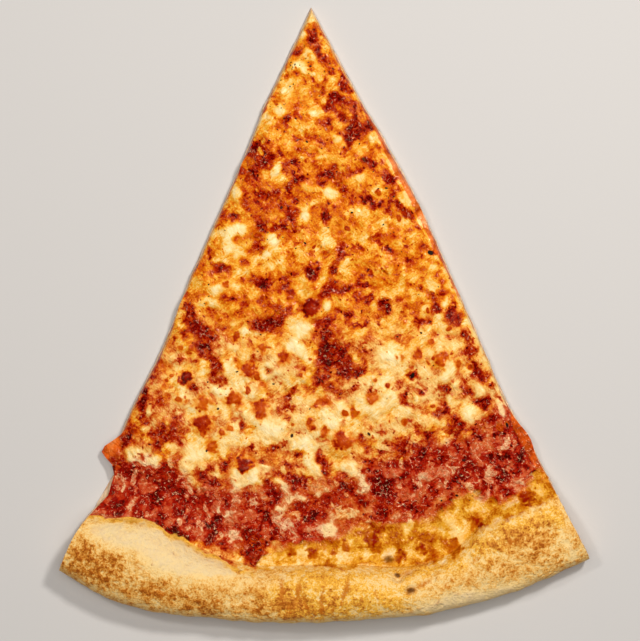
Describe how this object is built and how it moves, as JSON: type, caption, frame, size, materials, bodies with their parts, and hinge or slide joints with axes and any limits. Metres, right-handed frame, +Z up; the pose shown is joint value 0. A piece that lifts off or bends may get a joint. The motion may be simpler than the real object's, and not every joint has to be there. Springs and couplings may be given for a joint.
{
  "type": "cheese pizza slice",
  "caption": "Large wedge of thin cheese pizza with a puffed bread rim, a tomato sauce layer and an uneven melted cheese layer; lies flat.",
  "frame": {"origin": "under the middle of the slice's box, on the surface that the slice lies on", "axes": "+Z up out of the topped face, +Y from the rim towards the tip, +X towards the right cut seen from above with the tip away"},
  "size_m": [0.195, 0.227, 0.0175],
  "materials": {
    "baked_crust": "baked bread: matt, floury, browned in patches, pale open crumb where it is cut",
    "tomato_sauce": "cooked tomato sauce: deep red, wet and pulpy",
    "melted_cheese": "melted cheese: cream to orange, oily, with browned blisters"
  },
  "bodies": {
    "root": {"crust": "baked_crust", "sauce": "tomato_sauce", "cheese": "melted_cheese"}
  },
  "joints": []
}
